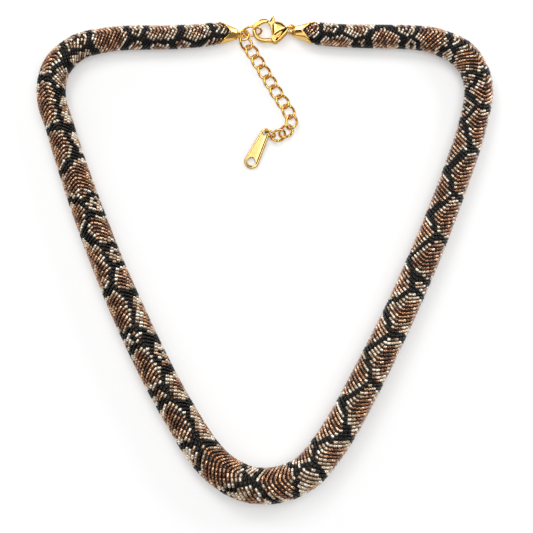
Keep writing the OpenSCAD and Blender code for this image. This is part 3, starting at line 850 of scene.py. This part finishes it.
def knuckle(steps=40, sides=20):
    """Shell of the lever's eye: a squared ring between 0.45 and 0.92 mm from the pivot, 1.2 mm high."""
    ray = circle(steps, 0)
    line = np.hstack([PIVOT + KNUCKLE_RADIUS * ray, np.zeros((steps, 1))])
    corner = circle(sides)
    corner = np.sign(corner) * np.abs(corner) ** KNUCKLE_POWER * [KNUCKLE_HALF, LEVER_HALF]
    out = np.hstack([ray, np.zeros((steps, 1))])
    points = carry(line, out, np.broadcast_to([0, 0, 1.0], out.shape), corner).reshape(-1, 3)
    return points, [grid_faces(steps, sides, along=True)]


lever_shells = [plate(GATE, -LEVER_HALF, LEVER_HALF, 0.2), knuckle()]
lever_shells = [(shell[0] + [0, 0, CLASP_Z], shell[1]) for shell in lever_shells]
hardware["clasp_lever"] = dress("lever_gate", lever_shells, "clasp_lever", body="lever")
print("lever shells", len(lever_shells))

# %% [markdown]
# ## The drop tag
#
# The tag is a stamped plate with a hole at each end and a thin raised rim. Its face is a sheet
# stretched from the outer edge to a keyhole line: once round each hole, and straight along the
# middle between them. That keeps the rows of faces parallel to the edge, so the rim and the rounded
# corners are only more rows. The line's two sides are welded into one at the end.

# %% Tag outlines
# from one hole to the other, the plate's radius round each, the radius of each hole, and their bevel
TAG_LONG, TAG_WIDE, TAG_NARROW, TAG_HOLE, TAG_EYE = 10.4, 2.4, 1.5, 1.35, 0.9
HOLE_ROUND = 0.1
EYE_COLUMNS, HOLE_COLUMNS, SIDE_COLUMNS = 41, 57, 24


def tag_lines():
    """Outer edge and its outward direction, keyhole line and the same there, and each column's hole.

    The edge is two arcs and the lines that touch both, which face acos((2.4 - 1.5) / 10.4) off its length.
    """
    lean = math.acos((TAG_WIDE - TAG_NARROW) / TAG_LONG)
    ray = lambda a: np.stack([np.cos(a), np.sin(a)], -1)
    small = np.linspace(-lean, lean, EYE_COLUMNS)
    big = np.linspace(lean, 2 * np.pi - lean, HOLE_COLUMNS)
    side = np.linspace(0, 1, SIDE_COLUMNS + 2)[1:-1, None]
    level = 0 * side
    eye, far = np.array([TAG_LONG, 0]), np.array([0, 0])
    up, down = ray(lean), ray(-lean)
    taper = TAG_WIDE - TAG_NARROW
    upper = eye + TAG_NARROW * up + side * (far - eye + taper * up)
    lower = far + TAG_WIDE * down + side * (eye - far - taper * down)
    outer = [eye + TAG_NARROW * ray(small), upper, far + TAG_WIDE * ray(big), lower]
    normal = [ray(small), level + up, ray(big), level + down]
    small_in = small * np.pi / lean
    big_in = (big - lean) / (2 * np.pi - 2 * lean) * 2 * np.pi
    start = np.array([TAG_LONG - TAG_EYE - HOLE_ROUND, 0])
    stop = np.array([TAG_HOLE + HOLE_ROUND, 0])
    inner = [eye + TAG_EYE * ray(small_in), start + side * (stop - start),
             far + TAG_HOLE * ray(big_in), stop + side * (start - stop)]
    away = [ray(small_in), level + [0, 0], ray(big_in), level + [0, 0]]
    hole = np.repeat([1, 0, 2, 0], [EYE_COLUMNS, SIDE_COLUMNS, HOLE_COLUMNS, SIDE_COLUMNS])
    return [np.vstack(part) for part in (outer, normal, inner, away)] + [hole]


# %% Tag plate
TAG_ROWS = [
    # hole: height, distance out from the hole; edge: height, distance in from the edge;
    # half: height, share of the way back from the hole's bevel to the row before
    ("hole", 0.10, 0), ("hole", 0, HOLE_ROUND),
    ("edge", 0, 0.42), ("edge", 0.06, 0.20), ("edge", 0.2, 0.05), ("edge", 0.36, 0),
    ("edge", 0.70, 0), ("edge", 0.88, 0.05), ("edge", 1.00, 0.15), ("edge", 1.06, 0.25),
    ("edge", 1.08, 0.33), ("edge", 1.08, 0.41), ("edge", 1.065, 0.46), ("edge", 0.92, 0.77),
    ("edge", 0.905, 0.82), ("edge", 0.905, 0.88), ("edge", 0.91, 0.94),
    ("half", 0.96, 0.5), ("hole", 0.98, HOLE_ROUND), ("hole", 0.9, 0),
]
# the face that is left between the rows and the keyhole line where the plate is narrow
FACE_LEFT = 0.14
TAG_TILT, TAG_HEAD = 4.5, 64.4
TAG_PLACE = (-4.32, 32.03, TAG_WIDE * math.sin(math.radians(TAG_TILT)))


def tag_plate():
    """Shell of the tag: rows from the hole, under the plate, round its edge, over the rim and back in."""
    outer, normal, inner, away, hole = tag_lines()
    room = np.linalg.norm(outer - inner, axis=1) - FACE_LEFT
    deepest = max(d for kind, z, d in TAG_ROWS if kind == "edge")
    layers = []
    for kind, z, d in TAG_ROWS:
        if kind == "hole":
            ring = inner + d * away
        elif kind == "edge":
            ring = outer - (d * np.minimum(1, room / deepest))[:, None] * normal
        else:
            ring = d * layers[-1][:, :2] + (1 - d) * (inner + HOLE_ROUND * away)
        layers.append(np.hstack([ring, np.full((len(ring), 1), z)]))
    rows, columns = len(TAG_ROWS), len(hole)
    quads = grid_faces(rows, columns, along=True).reshape(rows, columns, 4)
    beside = (hole > 0) & (hole == np.roll(hole, -1))
    wall = np.isin(np.arange(rows), [0, rows - 2, rows - 1])
    quads = quads[~wall[:, None] | beside[None, :]]
    points = np.concatenate(layers)
    merged, index = np.unique(np.round(points, 4), axis=0, return_inverse=True)
    return merged, [index.reshape(-1)[quads]]


tag_shell = placed(tag_plate(), place=TAG_PLACE, pitch=-TAG_TILT, head=TAG_HEAD)
hardware["tag"] = dress("tag_plate", [tag_shell], "tag")
print("hardware pieces", len(hardware))

# %% [markdown]
# ## Materials
#
# Two effects are shared. The lustre of a glass bead is never even, so one group turns the bead's own
# tint and a fine noise into a shade and a roughness. Gold plate is polished, but handling leaves
# hairlines and dull patches, so a second group makes those. Both are node groups that put out plain
# values; the shaders stay in the materials.


# %% Materials and groups
def new_material(name):
    """A material with an empty tree and a Principled BSDF already joined to the output."""
    material = bpy.data.materials.new(name)
    material.use_nodes = True
    tree = material.node_tree
    tree.nodes.clear()
    output = tree.nodes.new("ShaderNodeOutputMaterial")
    shader = tree.nodes.new("ShaderNodeBsdfPrincipled")
    tree.links.new(shader.outputs["BSDF"], output.inputs["Surface"])
    return material, tree, shader


def new_group(name, inputs, outputs):
    """A shader node group with float sockets; inputs are pairs of name and first value."""
    tree = bpy.data.node_groups.new(name, "ShaderNodeTree")
    for label, value in inputs:
        tree.interface.new_socket(label, in_out="INPUT", socket_type="NodeSocketFloat").default_value = value
    for label in outputs:
        tree.interface.new_socket(label, in_out="OUTPUT", socket_type="NodeSocketFloat")
    return tree, tree.nodes.new("NodeGroupInput"), tree.nodes.new("NodeGroupOutput")


# %% Node helpers
def ramp(tree, stops, factor):
    """A colour ramp read at factor; stops are pairs of place and colour."""
    node = tree.nodes.new("ShaderNodeValToRGB")
    while len(node.color_ramp.elements) < len(stops):
        node.color_ramp.elements.new(0.5)
    for element, (place, colour) in zip(node.color_ramp.elements, stops):
        element.position = place
        element.color = (*colour, 1)
    tree.links.new(factor, node.inputs["Fac"])
    return node.outputs["Color"]


def arithmetic(tree, what, a, b):
    """A Math node; each side is a number or a socket."""
    node = tree.nodes.new("ShaderNodeMath")
    node.operation = what
    for socket, value in zip(node.inputs, (a, b)):
        if isinstance(value, (int, float)):
            socket.default_value = value
        else:
            tree.links.new(value, socket)
    return node.outputs["Value"]


def mapped(tree, value, low, high):
    """The value, from 0 to 1, spread between low and high, which are numbers or sockets."""
    node = tree.nodes.new("ShaderNodeMapRange")
    tree.links.new(value, node.inputs["Value"])
    for label, end in (("To Min", low), ("To Max", high)):
        if isinstance(end, (int, float)):
            node.inputs[label].default_value = end
        else:
            tree.links.new(end, node.inputs[label])
    return node.outputs["Result"]


def object_noise(tree, scale, detail=2.0, stretch=(1, 1, 1)):
    """Noise on Object coordinates in metres; scale counts its features in a metre."""
    place = tree.nodes.new("ShaderNodeTexCoord").outputs["Object"]
    turn = tree.nodes.new("ShaderNodeMapping")
    turn.inputs["Scale"].default_value = stretch
    tree.links.new(place, turn.inputs["Vector"])
    node = tree.nodes.new("ShaderNodeTexNoise")
    node.inputs["Detail"].default_value = detail
    node.inputs["Scale"].default_value = scale
    tree.links.new(turn.outputs["Vector"], node.inputs["Vector"])
    return node.outputs["Fac"]


# %% Bead lustre
PATCH_SCALE, FILM_SCALE = 900, 5200
FILM_DULLS = 0.16
COAT_ROUGHNESS = 0.06
lustre, given, result = new_group("bead_lustre", [("Tint", 0.5), ("Patchiness", 0.3), ("Gloss", 0.2)],
                                  ["Shade", "Roughness"])
patches = arithmetic(lustre, "SUBTRACT", object_noise(lustre, PATCH_SCALE, 3), 0.5)
drift = arithmetic(lustre, "MULTIPLY", patches, given.outputs["Patchiness"])
shade = arithmetic(lustre, "ADD", given.outputs["Tint"], drift)
lustre.links.new(shade, result.inputs["Shade"])
film = object_noise(lustre, FILM_SCALE, 1)
dullest = arithmetic(lustre, "ADD", given.outputs["Gloss"], FILM_DULLS)
lustre.links.new(mapped(lustre, film, given.outputs["Gloss"], dullest), result.inputs["Roughness"])


def bead_material(name, stops, metallic, gloss, patchiness, shine, coat):
    """Glass bead finish: the tint and the patches pick a shade from the stops, and a coat lies over it."""
    material, tree, shader = new_material(name)
    group = tree.nodes.new("ShaderNodeGroup")
    group.node_tree = lustre
    tint_node = tree.nodes.new("ShaderNodeAttribute")
    tint_node.attribute_name = "tint"
    tree.links.new(tint_node.outputs["Fac"], group.inputs["Tint"])
    group.inputs["Patchiness"].default_value = patchiness
    group.inputs["Gloss"].default_value = gloss
    tree.links.new(ramp(tree, stops, group.outputs["Shade"]), shader.inputs["Base Color"])
    tree.links.new(group.outputs["Roughness"], shader.inputs["Roughness"])
    shader.inputs["Metallic"].default_value = metallic
    shader.inputs["Specular IOR Level"].default_value = shine
    shader.inputs["Coat Weight"].default_value = coat
    shader.inputs["Coat Roughness"].default_value = COAT_ROUGHNESS
    return material


finishes = {
    "dark": bead_material("dark_lustre_glass", [
        (0, (0.0010, 0.0008, 0.0007)), (0.6, (0.002, 0.0017, 0.0014)),
        (0.9, (0.006, 0.005, 0.004)), (1, (0.02, 0.016, 0.012)),
    ], metallic=0, gloss=0.06, patchiness=0.3, shine=0.28, coat=0),
    "copper": bead_material("copper_lustre_glass", [
        (0, (0.075, 0.026, 0.009)), (0.3, (0.19, 0.074, 0.027)),
        (0.7, (0.42, 0.20, 0.088)), (1, (0.84, 0.58, 0.38)),
    ], metallic=1, gloss=0.10, patchiness=0.7, shine=0.5, coat=1),
    "pale": bead_material("cream_lustre_glass", [
        (0, (0.25, 0.15, 0.08)), (0.3, (0.49, 0.35, 0.23)),
        (0.7, (0.70, 0.58, 0.43)), (1, (0.90, 0.84, 0.73)),
    ], metallic=0.6, gloss=0.10, patchiness=0.4, shine=0.5, coat=1),
}
for (word, half), thing in bead_sets.items():
    thing.data.materials.append(finishes[word])
print("bead finishes", len(finishes))

# %% [markdown]
# ## Thread and gold
#
# Waxed thread is matt, with fibres along it, and one noise in two browns is enough. The browns are
# nearly black: partly the thread's own colour and partly painted shade between the beads.
#
# Thin gold plate shows a colour that drifts a little, smears from fingers, and hairlines from a cloth.
# The smears change how sharply it mirrors, and the hairlines are a bump of at most two thousandths of
# a millimetre. Wire, sheet, stamping, casting and gate differ a little, so each has its own gold.

# %% Thread
# near-black browns: the thread's colour and painted shade between the beads
THREAD_AND_SHADE_BROWNS = [(0.3, (0.006, 0.004, 0.003)), (0.7, (0.020, 0.012, 0.008))]
FIBRE_SCALE, FIBRE_STRETCH = 4000, (1, 1, 0.3)
thread, tree, shader = new_material("dark_waxed_thread")
fibre = object_noise(tree, FIBRE_SCALE, 2, FIBRE_STRETCH)
tree.links.new(ramp(tree, THREAD_AND_SHADE_BROWNS, fibre), shader.inputs["Base Color"])
shader.inputs["Roughness"].default_value = 0.75
core.data.materials.append(thread)
print("thread finish", thread.name)

# %% Polish marks
SMEAR_SCALE, HAIR_SCALE, HAIR_STRETCH, TONE_SCALE = 350, 2600, (1, 0.12, 1), 700
HAIR_STRENGTH = 0.25
polish, given, result = new_group("polish_marks", [("Gloss", 0.12), ("Dullness", 0.12)],
                                  ["Roughness", "Height", "Tone"])
smears = object_noise(polish, SMEAR_SCALE, 3)
dullest = arithmetic(polish, "ADD", given.outputs["Gloss"], given.outputs["Dullness"])
polish.links.new(mapped(polish, smears, given.outputs["Gloss"], dullest), result.inputs["Roughness"])
polish.links.new(object_noise(polish, HAIR_SCALE, 2, HAIR_STRETCH), result.inputs["Height"])
polish.links.new(object_noise(polish, TONE_SCALE, 1), result.inputs["Tone"])
print("polish marks", len(polish.nodes), "nodes")


# %% Gold plate
def gold_material(name, tones, gloss, dullness, marks):
    """Polished gold plate: a tone that drifts between two, uneven gloss, and hairlines marks metres deep."""
    material, tree, shader = new_material(name)
    group = tree.nodes.new("ShaderNodeGroup")
    group.node_tree = polish
    group.inputs["Gloss"].default_value = gloss
    group.inputs["Dullness"].default_value = dullness
    tree.links.new(group.outputs["Roughness"], shader.inputs["Roughness"])
    tree.links.new(ramp(tree, [(0.3, tones[0]), (0.7, tones[1])], group.outputs["Tone"]),
                   shader.inputs["Base Color"])
    bump = tree.nodes.new("ShaderNodeBump")
    bump.inputs["Strength"].default_value = HAIR_STRENGTH
    bump.inputs["Distance"].default_value = marks
    tree.links.new(group.outputs["Height"], bump.inputs["Height"])
    tree.links.new(bump.outputs["Normal"], shader.inputs["Normal"])
    shader.inputs["Metallic"].default_value = 1
    shader.inputs["Specular Tint"].default_value = (0.62, 0.45, 0.25, 1)
    return material


DEEP_GOLD = (0.70, 0.40, 0.09), (0.78, 0.49, 0.14)
WARM_GOLD = (0.73, 0.45, 0.13), (0.80, 0.53, 0.18)
PALE_GOLD = (0.62, 0.41, 0.15), (0.68, 0.47, 0.19)
golds = {
    "wire": gold_material("gold_wire", DEEP_GOLD, gloss=0.12, dullness=0.10, marks=2e-6),
    "sheet": gold_material("gold_sheet", WARM_GOLD, gloss=0.08, dullness=0.07, marks=1e-6),
    "plate": gold_material("gold_stamping", PALE_GOLD, gloss=0.12, dullness=0.10, marks=5e-7),
    "casting": gold_material("gold_casting", WARM_GOLD, gloss=0.08, dullness=0.08, marks=1e-6),
    "gate": gold_material("gold_gate", WARM_GOLD, gloss=0.14, dullness=0.08, marks=1e-6),
}
for thing in hardware.values():
    thing.data.materials.append(golds[thing.name.split("_")[-1]])
print("gold finishes", len(golds))

# %% [markdown]
# ## The white ground
#
# The photograph has a plain white ground. A large sheet of matt paper under the necklace gives soft
# contact shadows. It gives off a little light of its own, so that it stays white without stronger
# lamps, which would burn out the gold.

# %% Floor
FLOOR_HALF = 3000
FLOOR_CORNERS = FLOOR_HALF * np.array([[-1, -1, 0], [1, -1, 0], [1, 1, 0], [-1, 1, 0]])
floor = make_mesh("floor", [(FLOOR_CORNERS, [np.array([[0, 1, 2, 3]])])], closed=False)
paper, tree, shader = new_material("white_paper")
shader.inputs["Base Color"].default_value = (0.62, 0.62, 0.62, 1)
shader.inputs["Roughness"].default_value = 0.9
shader.inputs["Emission Color"].default_value = (1, 1, 1, 1)
shader.inputs["Emission Strength"].default_value = 0.28
floor.data.materials.append(paper)
print("floor", paper.name)

# %% [markdown]
# ## Light
#
# Jewellery is lit by large soft boxes, because gold and glass show what they mirror. Two boxes hang
# high up, two stand low behind the necklace, a small key stands on the right and a faint fill on the
# left. The sky has a dark band between a bright top and a lit horizon, which is brighter behind, so
# that each facet and bead has both a light and a dark side.


# %% Lights
def softbox(name, place, wide, high, power):
    """A rectangular area light at place, turned to face the middle of the necklace."""
    data = bpy.data.lights.new(name, "AREA")
    data.shape = "RECTANGLE"
    data.size, data.size_y = wide, high
    data.energy = power
    thing = bpy.data.objects.new(name, data)
    thing.location = place
    thing.rotation_euler = (Vector(place) - Vector(AIM)).to_track_quat("Z", "Y").to_euler()
    bpy.context.scene.collection.objects.link(thing)
    return thing


softbox("overhead", (0.20, -0.10, 0.90), 0.40, 0.40, 1.7)
softbox("top_back", (-0.28, 0.52, 0.78), 0.34, 0.34, 2.4)
softbox("key", (0.42, 0.20, 0.32), 0.15, 0.10, 0.5)
softbox("fill", (-0.6, -0.2, 0.5), 0.4, 0.4, 0.7)
softbox("back_right", (0.66, 0.72, 0.09), 0.5, 0.20, 2.2)
softbox("back_left", (-0.52, 0.82, 0.14), 0.6, 0.18, 2.4)
print("lights", len(bpy.data.lights))

# %% Sky
# the sine of the height and the brightness there: above, which both sides share, and low on each side
SKY_ABOVE = [(0.5, 0.05), (0.74, 0.05), (0.84, 0.9), (0.94, 1.9)]
FRONT_BELOW = [(0, 0.9), (0.02, 0.35), (0.3, 0.28)]
BACK_BELOW = [(0, 1.8), (0.1, 1.6), (0.35, 0.4)]
BACK_SLOPE, BACK_START = 1.5, 0.3
# the colour mixer's sockets by number, because it has more than one of each name
MIX_FRONT, MIX_BACK, MIX_RESULT = 6, 7, 2
grey = lambda stops: [(place, (bright, bright, bright)) for place, bright in stops]
world = bpy.data.worlds.new("studio")
bpy.context.scene.world = world
world.use_nodes = True
tree = world.node_tree
direction = tree.nodes.new("ShaderNodeTexCoord")
split = tree.nodes.new("ShaderNodeSeparateXYZ")
tree.links.new(direction.outputs["Generated"], split.inputs["Vector"])
front = ramp(tree, grey(FRONT_BELOW + SKY_ABOVE), split.outputs["Z"])
back = ramp(tree, grey(BACK_BELOW + SKY_ABOVE), split.outputs["Z"])
slope = arithmetic(tree, "MULTIPLY", split.outputs["Y"], BACK_SLOPE)
behind = mapped(tree, arithmetic(tree, "ADD", slope, BACK_START), 0.0, 1.0)
both = tree.nodes.new("ShaderNodeMix")
both.data_type = "RGBA"
tree.links.new(behind, both.inputs["Factor"])
tree.links.new(front, both.inputs[MIX_FRONT])
tree.links.new(back, both.inputs[MIX_BACK])
background = tree.nodes["Background"]
tree.links.new(both.outputs[MIX_RESULT], background.inputs["Color"])
background.inputs["Strength"].default_value = 1
bpy.context.scene.view_settings.view_transform = "Standard"
print("sky", len(tree.nodes), "nodes")
